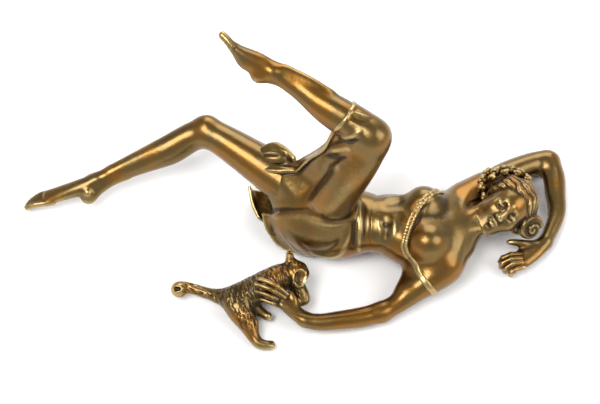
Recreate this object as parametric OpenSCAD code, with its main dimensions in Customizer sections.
// Bronze statuette of a reclining woman playing with a kitten.
// Lost-wax castings, joined with hidden dowel pins. Millimetres, +Z up.
// The origin is the centre of the filed rest pad under the hips; +X runs from the hips to the head,
// and +Y to the figure's right-hand side.

/* [Figure] */
// Overall length from toe to elbow
figure_length = 255; // [225:10:285]
// Wall of the hollow torso and skirt castings
wall = 3; // [2.5:0.5:3.5]
// Points around a limb or body section
round_points = 20; // [16:2:24]
// Steps between two stations of a limb
loft_steps = 3; // [2:1:4]

/* [Dowel pins] */
// Diameter of the thigh, calf and neck dowels
large_pin_d = 4.2; // [3.2:0.5:5.2]
// Diameter of the shoulder dowels
arm_pin_d = 3; // [2:0.5:4]
// Diameter of the kitten's dowel
kitten_pin_d = 1.6; // [1.2:0.2:2]
// Radial clearance between a dowel and its socket
pin_clearance = 0.04; // [0.02:0.01:0.08]
// Solder gap between two castings
solder_gap = 0.06; // [0.04:0.02:0.1]

/* [Waist joint] */
// Outside diameter of the torso's spigot
spigot_d = 17; // [15:0.5:18]
// Length of the spigot inside the skirt
spigot_length = 7; // [5:0.5:9]

/* [Rest pads] */
// Depth filed off the lowest points so that the figure sits flat
pad_depth = 0.6; // [0.4:0.1:0.8]

/* [Hidden] */
// How much larger the figure is than the 255 mm for which the stations are given
k = figure_length / 255;
bronze = [0.42, 0.28, 0.12];
pin_bronze = [0.62, 0.46, 0.22];
far = 400 * k;

// Landmarks of the body, as joint centres.
waist = [16, -5, 16] * k;
neck_base = [58, -7, 15] * k;
head_base = [65.5, -3.5, 16.5] * k;
head_centre = [79.5, 4, 19] * k;
right_shoulder = [58, 13, 13] * k;
right_elbow = [103, 33, 5] * k;
right_wrist = [94.5, -10, 5.5] * k;
left_shoulder = [50.5, -27.5, 13] * k;
left_elbow = [18, -46, 5.2] * k;
left_wrist = [-15, -44.5, 7] * k;
left_knuckles = [-25, -38.5, 11] * k;
right_hip = [-6, 5, 15] * k;
right_knee = [-60.5, 35.5, 29] * k;
right_ankle = [-115, 14.5, 12.5] * k;
left_hip = [0, -8, 22] * k;
left_knee = [14.5, 9, 68.5] * k;
left_ankle = [-29, 34, 82.2] * k;
kitten_hips = [-52, -37, 7.5] * k;
kitten_chest = [-31, -30.5, 8.5] * k;

// Where one casting meets the next, and the direction that the joint faces.
waist_axis = unit(neck_base - waist);
neck_axis = unit(head_base - neck_base);
right_arm_axis = unit(right_elbow - right_shoulder);
left_arm_axis = unit(left_elbow - left_shoulder);
right_thigh_axis = unit(right_knee - right_hip);
left_calf_axis = unit(left_ankle - left_knee);
neck_seam = neck_base + neck_axis * 6 * k;
right_arm_seam = right_shoulder + right_arm_axis * 9 * k;
left_arm_seam = left_shoulder + left_arm_axis * 9 * k;
right_thigh_seam = right_hip + right_thigh_axis * 24 * k;
left_calf_seam = left_knee + left_calf_axis * 11 * k;
right_leg_side = unit(cross(right_knee - right_hip, right_ankle - right_knee));
left_leg_side = unit(cross(left_knee - left_hip, left_ankle - left_knee));

// ---- Lofts: closed solids through elliptical stations [x, y, z, half width, half height] ----

function unit(v) = v / norm(v);

function place(s) = [s[0], s[1], s[2]];

function station(p, w, h) = [p[0], p[1], p[2], w * k, h * k];

function catmull(a, b, c, d, t) =
    0.5 * (2 * b + (c - a) * t + (2 * a - 5 * b + 4 * c - d) * t * t
           + (3 * b - 3 * c + d - a) * t * t * t);

function smoothed(s, steps) =
    let (n = len(s))
    [
        for (i = [0 : n - 2], j = [0 : steps - 1])
            catmull(s[max(i - 1, 0)], s[i], s[i + 1], s[min(i + 2, n - 1)], j / steps),
        s[n - 1]
    ];

function heading(s, i) =
    unit(place(s[min(i + 1, len(s) - 1)]) - place(s[max(i - 1, 0)]));

function ring(c, along, side, w, h, n) =
    let (across = unit(side - (side * along) * along), up = cross(along, across))
    [for (a = [0 : n - 1]) c + across * w * cos(360 * a / n) + up * h * sin(360 * a / n)];

// Domes close both ends: two shrinking rings beyond the first and the last station.
function dome_ring(s, along, side, angle, sign, n) =
    let (reach = min(s[3], s[4]) * sin(angle) * sign)
    ring(place(s) + along * reach, along, side, s[3] * cos(angle), s[4] * cos(angle), n);

function loft_rings(s, side, n, steps, round_start, round_end) =
    let (p = smoothed(s, steps), last = len(p) - 1, a = heading(p, 0), b = heading(p, last))
    concat(
        round_start ? [for (d = [66, 33]) dome_ring(p[0], a, side, d, -1, n)] : [],
        [for (i = [0 : last]) ring(place(p[i]), heading(p, i), side, p[i][3], p[i][4], n)],
        round_end ? [for (d = [33, 66]) dome_ring(p[last], b, side, d, 1, n)] : []
    );

module skin(rings) {
    n = len(rings[0]);
    m = len(rings);
    walls = [
        for (i = [0 : m - 2], j = [0 : n - 1])
            let (a = i * n + j, b = i * n + (j + 1) % n)
            for (f = [[a, b + n, b], [a, a + n, b + n]]) f
    ];
    caps = [[for (j = [0 : n - 1]) j], [for (j = [n - 1 : -1 : 0]) (m - 1) * n + j]];
    polyhedron([for (r = rings) each r], concat(walls, caps));
}

module loft(s, side = [0, -1, 0], n = round_points, steps = loft_steps,
            round_start = true, round_end = true) {
    skin(loft_rings(s, side, n, steps, round_start, round_end));
}

// One skin from several overlapping lofts; the size is unchanged.
module one_skin() {
    resize([0, 0, 0]) union() children();
}

// Stands its children at p, with their +Z along a direction.
module aim(p, direction) {
    d = unit(direction);
    translate(p) rotate([0, acos(d[2]), atan2(d[1], d[0])]) children();
}

// Keeps what lies on the side of a joint face that the direction points to.
module beyond(p, direction) {
    difference() {
        children();
        aim(p, direction) translate([-far, -far, -2 * far]) cube(2 * far);
    }
}

// Keeps what lies on the side of a joint face that the direction points away from.
module short_of(p, direction) {
    difference() {
        children();
        aim(p, direction) translate([-far, -far, 0]) cube(2 * far);
    }
}

module pin(p, direction, d, length) {
    aim(p, direction) translate([0, 0, -length / 2]) cylinder(d = d, h = length, $fn = 32);
}

module socket(p, direction, d, length) {
    pin(p, direction, d + 2 * pin_clearance, length + 0.6);
}

// Everything under the surface that the figure rests on
module underground() {
    translate([-far, -far, -2 * far]) cube(2 * far);
}

// ---- Torso ----

torso_stations = [
    station(waist + waist_axis * 1 * k, 13.5, 11),
    station([24, -6, 16.5] * k, 14.5, 12),
    station([35, -9, 16.5] * k, 18.5, 14.5),
    station([45, -10, 14.5] * k, 20, 14.5 + pad_depth),
    station([53, -8.5, 13.2] * k, 18.5, 10.5),
    station([58, -7.5, 13.5] * k, 11, 8),
];
torso_core = [
    station([22, -5.8, 16.4] * k, 9, 7),
    station([33, -8.5, 16.5] * k, 13.5, 10),
    station([43, -10, 15] * k, 14, 9),
];
neck_stations = [
    station([54, -8, 13.5] * k, 9, 7.5),
    station(neck_base, 7, 7),
    station(head_base, 6.5, 7),
    station(head_base + neck_axis * 6 * k, 6.5, 7),
];

module shoulder(joint, seam, from) {
    short_of(seam, unit(seam - joint)) loft([
        station(from, 9, 8.5),
        station(joint, 7.6, 7.8),
        station(seam, 6.4, 7.2),
    ], side = [0, 0, 1]);
}

module breast(c) {
    loft([
        station(c, 9.2, 9.2),
        station(c + [-0.5, 0, 3] * k, 8, 8),
        station(c + [-1, 0, 5.6] * k, 5, 5),
    ], side = [1, 0, 0], steps = 2);
}

module torso_outside() {
    beyond(waist, waist_axis) loft(torso_stations);
    shoulder(right_shoulder, right_arm_seam, [48, 2, 14] * k);
    shoulder(left_shoulder, left_arm_seam, [44, -18, 14] * k);
    short_of(neck_seam, neck_axis) loft(neck_stations);
    breast([38, 0.5, 24] * k);
    breast([39, -18.5, 23.5] * k);
}

module torso() {
    color(bronze) difference() {
        union() {
            one_skin() difference() {
                torso_outside();
                loft(torso_core);
                underground();
            }
            pin(waist - waist_axis * (spigot_length / 2 - 2) * k, waist_axis, spigot_d,
                spigot_length + 4);
        }
        pin(waist - waist_axis * (spigot_length / 2 - 2) * k, waist_axis, spigot_d - 2 * wall,
            spigot_length + 8);
        socket(neck_seam, neck_axis, large_pin_d, 12);
        socket(right_arm_seam, right_arm_axis, arm_pin_d, 11);
        socket(left_arm_seam, left_arm_axis, arm_pin_d, 11);
        waist_pin_holes();
        torso_plug(pin_clearance);
    }
}

// ---- Skirt: hips, the sleeve of cloth over the raised thigh, and the folds ----

hip_stations = [
    station(waist + waist_axis * 1 * k, 13.5, 11),
    station([8, -2.5, 17] * k, 19, 15),
    station([-1, 0, 18] * k, 23, 18 + pad_depth),
    station([-10, 2, 17.5] * k, 22, 17.2 + pad_depth),
    station([-19, 4, 15] * k, 16, 12.5),
];
hip_core = [
    station(waist + waist_axis * 2 * k, 6, 6),
    station(waist - waist_axis * 6 * k, 6, 6),
    station([3, -1.5, 17] * k, 14, 11),
    station([-2, 0, 18] * k, 18, 14),
    station([-10, 2, 17.5] * k, 17, 13),
    station([-15, 3, 16] * k, 12, 9),
];
sleeve_stations = [
    station([0, -6, 20] * k, 14, 15),
    station([3, -3, 36] * k, 12, 13),
    station([9, 2, 52] * k, 10.2, 11.2),
    station(left_knee + [-1.5, 0, -3] * k, 9.2, 9.6),
    station(left_knee + left_calf_axis * 6 * k, 8.8, 9.2),
    station(left_calf_seam + left_calf_axis * 3 * k, 8.8, 9.2),
];
sleeve_core = [
    station([0.5, -5.5, 24] * k, 9, 10),
    station([3, -3, 36] * k, 8, 9),
    station([8.6, 1.6, 51] * k, 6.2, 7.2),
];

// A gathered panel of cloth between three points
module web(a, b, c, r) {
    hull() for (p = [a, b, c]) translate(p * k) sphere(r * k, $fn = 12);
}

module skirt_outside() {
    short_of(waist, waist_axis) loft(hip_stations);
    short_of(left_calf_seam, left_calf_axis) loft(sleeve_stations, side = left_leg_side);
    // The end of the cloth around the lowered thigh
    loft([
        station(right_hip, 14, 14),
        station(right_hip + right_thigh_axis * 14 * k, 13.5, 13.5),
        station(right_thigh_seam, 12.5, 12.5),
    ], side = right_leg_side, round_end = false);
    // Cloth drawn across from the raised knee to the other thigh, in two panels
    web([0.5, 13.5, 62], [-6, 4, 31], [-16, 15, 30], 2.2);
    web([2, -2, 40], [-8, 4, 28], [-12, -3, 22], 3.2);
    // The bunched fold on top of the lowered thigh
    web([-20, 17, 28.5], [-34, 22.5, 30], [-30, 13.5, 27], 3.4);
    // The flap that hangs under it
    web([-17, -4, 12], [-32, 2, 9], [-24, 10, 6], 2.4);
}

module skirt() {
    color(bronze) difference() {
        one_skin() difference() {
            skirt_outside();
            loft(hip_core);
            loft(sleeve_core, side = left_leg_side);
        }
        underground();
        pin(waist - waist_axis * (spigot_length / 2 + 1) * k, waist_axis,
            spigot_d + 2 * pin_clearance, spigot_length + 6);
        socket(right_thigh_seam, right_thigh_axis, large_pin_d, 18);
        socket(left_calf_seam, left_calf_axis, large_pin_d, 16);
        waist_pin_holes();
        skirt_plug(pin_clearance);
    }
}

// ---- Legs ----

right_leg_stations = [
    station(right_thigh_seam + right_thigh_axis * solder_gap, 10.2, 10.2),
    station(right_hip + right_thigh_axis * 40 * k, 9, 9.2),
    station(right_knee - right_thigh_axis * 8 * k, 7.6, 8),
    station(right_knee, 7, 7.8),
    station([-69.5, 31, 27] * k, 6.8, 7.6),
    station([-82, 26.5, 22.5] * k, 6.6, 7.4),
    station([-99, 21, 17] * k, 4.6, 4.9),
    station([-109, 17, 14] * k, 3.6, 4),
    station(right_ankle, 3.6, 4.6),
    station([-121, 13.8, 11] * k, 3.9, 4),
    station([-131, 12.6, 8.4] * k, 4.6, 3),
    station([-139, 12, 6] * k, 4.6, 2.5),
    station([-144.5, 11.4, 4.4] * k, 3.4, 1.8),
];

module right_leg() {
    heel = right_ankle + [1.5, -2.6, -3.6] * k;
    color(bronze) difference() {
        one_skin() difference() {
            union() {
                loft(right_leg_stations, side = right_leg_side, round_start = false);
                loft([
                    station(right_ankle + [6, 0, 1] * k, 2.2, 2.4),
                    station(heel, 3.2, 3.2),
                    station(heel + [-7, 1, 0.4] * k, 2.8, 1.8),
                ], side = right_leg_side, n = 12, steps = 2);
            }
            skirt_outside();
        }
        socket(right_thigh_seam, right_thigh_axis, large_pin_d, 18);
    }
}

left_leg_stations = [
    station(left_calf_seam + left_calf_axis * solder_gap, 7.2, 7.8),
    station([-3, 18.8, 73.4] * k, 6.8, 7.4),
    station([-9.8, 22.8, 75.2] * k, 6.2, 6.8),
    station([-17.5, 28.2, 78] * k, 4.6, 5),
    station([-24, 31.6, 80.4] * k, 3.8, 4.2),
    station(left_ankle, 3.6, 4.4),
    station([-37.4, 36.8, 84.8] * k, 3.8, 4),
    station([-43.6, 40, 87.4] * k, 4.4, 3),
    station([-47.6, 43, 89.4] * k, 4.2, 2.2),
    station([-50.6, 46, 90.8] * k, 3, 1.6),
];

module left_leg() {
    heel = left_ankle + [-2, -1.5, -4.6] * k;
    color(bronze) difference() {
        one_skin() difference() {
            union() {
                loft(left_leg_stations, side = left_leg_side, round_start = false);
                loft([
                    station(left_ankle + [5, -2.5, -1.5] * k, 2.2, 2.4),
                    station(heel, 3, 3),
                    station(heel + [-6, 4.5, 2] * k, 2.6, 1.8),
                ], side = left_leg_side, n = 12, steps = 2);
            }
            skirt_outside();
        }
        socket(left_calf_seam, left_calf_axis, large_pin_d, 16);
    }
}

// ---- Arms ----

module finger(from, bend, tip, r) {
    loft([station(from * k, r, r), station(bend * k, r * 0.95, r * 0.95),
          station(tip * k, r * 0.8, r * 0.8)], side = [0.1, 0.2, 1], n = 8, steps = 2);
}

module right_arm_outside() {
    loft([
        station(right_arm_seam, 6.4, 6.2),
        station(right_shoulder + right_arm_axis * 24 * k, 5.4, 5.4),
        station(right_elbow - right_arm_axis * 8 * k, 4.9, 4.9),
        station(right_elbow, 4.8, 4.8),
        station([104, 24, 5] * k, 5, 5.2),
        station([101.5, 9, 5.2] * k, 4.4, 4.6),
        station(right_wrist, 4, 3.4),
        station([89.5, -13.5, 5.4] * k, 5, 2.6),
        station([84, -18, 5.4] * k, 5.2, 2.4),
    ], side = [0, 0, 1], n = 16);
    finger([84, -14.5, 6.5], [80, -14, 7.5], [76.5, -12.5, 8], 1.5);
    finger([84, -16, 6], [79.5, -19.5, 6.5], [77, -18.5, 4.5], 1.6);
    finger([83, -18, 6], [78.5, -21.5, 6.5], [75.5, -21, 4.5], 1.6);
    finger([83, -20, 5.5], [79, -23.5, 6], [76, -23.5, 4], 1.6);
    finger([83.5, -21.5, 5], [80.5, -25, 5.2], [78, -25.5, 3.2], 1.4);
}

module right_arm() {
    color(bronze) difference() {
        one_skin() difference() {
            beyond(right_arm_seam + right_arm_axis * solder_gap, right_arm_axis)
                right_arm_outside();
            underground();
        }
        socket(right_arm_seam, right_arm_axis, arm_pin_d, 11);
    }
}

module left_arm_outside() {
    loft([
        station(left_arm_seam, 6.6, 6.4),
        station(left_shoulder + left_arm_axis * 19 * k, 5.9, 6),
        station(left_elbow - left_arm_axis * 7 * k, 5.4, 5.6),
        station(left_elbow, 5.3, 5.4),
        station([9, -46.8, 6.8] * k, 5.3, 5.5),
        station([-4, -46.6, 6.8] * k, 4.4, 4.8),
        station(left_wrist, 3.5, 4.2),
        station([-21, -41.5, 9.5] * k, 3, 4.8),
        station(left_knuckles, 2.7, 4.6),
    ], side = [0, 1, 1], n = 16);
    finger([-25.5, -37, 14], [-31, -32.6, 16.6], [-35.5, -30.5, 15.4], 1.5);
    finger([-25.5, -38, 12], [-31.5, -35, 16], [-36.5, -33.4, 15.2], 1.6);
    finger([-25, -39.5, 10.5], [-30.5, -38.2, 14.4], [-35, -36.6, 14.6], 1.5);
    finger([-24, -41, 9], [-28.5, -41, 12], [-32.5, -39.6, 13.2], 1.4);
    finger([-19, -39, 11], [-17.5, -35.6, 14], [-19, -33, 15], 1.8);
}

module left_arm() {
    color(bronze) difference() {
        one_skin() difference() {
            beyond(left_arm_seam + left_arm_axis * solder_gap, left_arm_axis)
                left_arm_outside();
            loft(torso_stations);
            underground();
        }
        socket(left_arm_seam, left_arm_axis, arm_pin_d, 11);
        socket(kitten_pin_at, kitten_pin_axis, kitten_pin_d, 8);
    }
}

// ---- Head: a plain egg-shaped head with a wide crown of waved hair ----

head_up = unit([0.8, 0.42, 0.36]);
head_face = unit(cross(cross(head_up, [0.1, -0.5, 0.86]), head_up));
head_left = cross(head_up, head_face);

function on_head(left, face, up) =
    head_centre + (head_left * left + head_face * face + head_up * up) * k;

module head() {
    color(bronze) difference() {
        one_skin() difference() {
            head_outside();
            torso_outside();
            right_arm_outside();
        }
        socket(neck_seam, neck_axis, large_pin_d, 12);
    }
}

module head_outside() {
    beyond(neck_seam + neck_axis * solder_gap, neck_axis) loft(neck_stations);
    // Jaw, face and skull
    loft([
        station(on_head(0, 4, -13), 3.2, 3.4),
        station(on_head(0, 2.6, -8), 7.6, 7.8),
        station(on_head(0, 1, 0), 9.6, 11),
        station(on_head(0, 0, 8), 9.6, 11),
        station(on_head(0, 0, 12), 7, 8),
    ], side = head_left);
    // Nose
    web(on_head(0, 12, -1) / k, on_head(0, 14, -4.5) / k, on_head(0, 10.4, -5) / k, 1);
    // The crown of hair, fuller at the back and the sides
    loft([
        station(on_head(0, -4, -7), 10, 8),
        station(on_head(0, -3.5, 0), 12.6, 11),
        station(on_head(0, -2, 8), 12.8, 12.6),
        station(on_head(0, -2.5, 13.5), 9.4, 9.4),
    ], side = head_left);
}

// ---- Kitten ----

kitten_pin_at = [-28.2, -35, 10.8] * k;
kitten_pin_axis = unit([-0.5, 0.85, -0.2]);

module kitten_limb(points, radii) {
    loft([for (i = [0 : len(points) - 1]) station(points[i] * k, radii[i], radii[i])],
         side = [0.2, 0.3, 1], n = 12, steps = 2);
}

module kitten() {
    color(bronze) difference() {
        one_skin() difference() {
            kitten_outside();
            left_arm_outside();
            underground();
        }
        socket(kitten_pin_at, kitten_pin_axis, kitten_pin_d, 8);
    }
}

module kitten_outside() {
    loft([
        station(kitten_hips, 3.4, 3.4),
        station([-45, -34, 8.5] * k, 6.8, 6.4),
        station([-38, -31, 9] * k, 7.6, 7),
        station(kitten_chest, 6.6, 6.2),
        station([-24, -26.5, 9.5] * k, 5, 5),
    ], side = [0.4, -1, 0.2], n = 18);
    // Head with two ears
    kitten_limb([[-20.5, -25.5, 11], [-17, -24.5, 11.5]], [5, 4.6]);
    kitten_limb([[-22.5, -21.5, 11], [-24, -17, 11.5]], [2, 0.7]);
    kitten_limb([[-17, -28, 14], [-17, -31.5, 16.5]], [2.2, 1.4]);
    // Tail, stretched out on the ground
    kitten_limb([[-51, -36.5, 7.5], [-58, -35, 6.5], [-65, -32.5, 3.4], [-73, -33.5, 2.9]],
                [3, 2.2, 2.6, 3]);
    // Hind legs
    kitten_limb([[-44, -37.5, 8], [-41, -45, 7], [-37.5, -54, 4.2], [-36.5, -59, 2.4],
                 [-31.5, -60.5, 2.1]], [4.6, 4.2, 2.8, 2.4, 2.2]);
    kitten_limb([[-40, -36, 6], [-37.5, -44, 4.4], [-33.5, -48, 2.1]], [3.2, 2.4, 2.2]);
    // Forelegs, hugging the hand
    kitten_limb([[-27, -31, 7], [-20, -35, 4.5], [-16.5, -37.5, 2]], [3, 2.2, 2]);
}

// ---- Neckline band with its fallen shoulder strap, a soldered bronze strip ----

module bodice_band() {
    color(bronze) one_skin() difference() {
        loft([
            station([48, 7, 22.8] * k, 1.3, 1.2),
            station([42, 3, 30.8] * k, 1.3, 1.2),
            station([38, -1, 34] * k, 1.3, 1.2),
            station([33, -6, 31.2] * k, 1.3, 1.2),
            station([28.5, -14, 29.8] * k, 1.3, 1.2),
            station([28.5, -22, 25.4] * k, 1.3, 1.2),
            station([35, -29.5, 20.5] * k, 1.3, 1.2),
            station([43, -37, 16.2] * k, 1.3, 1.2),
        ], side = [1, 0, 0.2], n = 8, steps = 2);
        torso_outside();
        left_arm_outside();
    }
}

// ---- Dowels, rivets and core plugs ----

waist_rivet_d = 2;

module waist_rivet(side) {
    aim(waist - waist_axis * 4 * k, [0, side, -0.9]) translate([0, 0, spigot_d / 2 - wall + 0.3])
        cylinder(d = waist_rivet_d, h = 6.6, $fn = 24);
}

module waist_pin_holes() {
    for (side = [-1, 1]) aim(waist - waist_axis * 4 * k, [0, side, -0.9]) translate([0, 0, 4])
        cylinder(d = waist_rivet_d + 2 * pin_clearance, h = 20, $fn = 24);
}

module skirt_plug(gap = 0) {
    translate([-9 * k, 3 * k, -gap]) cylinder(d = 4 + 2 * gap, h = 3.6 + gap, $fn = 32);
}

module torso_plug(gap = 0) {
    translate([40 * k, -9.5 * k, -gap]) cylinder(d = 4 + 2 * gap, h = 5 + gap, $fn = 32);
}

module core_plugs() {
    color(pin_bronze) {
        skirt_plug();
        torso_plug();
    }
}

torso();
skirt();
head();
right_arm();
left_arm();
right_leg();
left_leg();
kitten();
bodice_band();
color(pin_bronze) pin(neck_seam, neck_axis, large_pin_d, 12);  // neck_pin
color(pin_bronze) pin(right_arm_seam, right_arm_axis, arm_pin_d, 11);  // right_shoulder_pin
color(pin_bronze) pin(left_arm_seam, left_arm_axis, arm_pin_d, 11);  // left_shoulder_pin
color(pin_bronze) pin(right_thigh_seam, right_thigh_axis, large_pin_d, 18);  // right_thigh_pin
color(pin_bronze) pin(left_calf_seam, left_calf_axis, large_pin_d, 16);  // left_calf_pin
color(pin_bronze) pin(kitten_pin_at, kitten_pin_axis, kitten_pin_d, 8);  // kitten_pin
color(pin_bronze) for (side = [-1, 1]) waist_rivet(side);  // waist_pins
core_plugs();
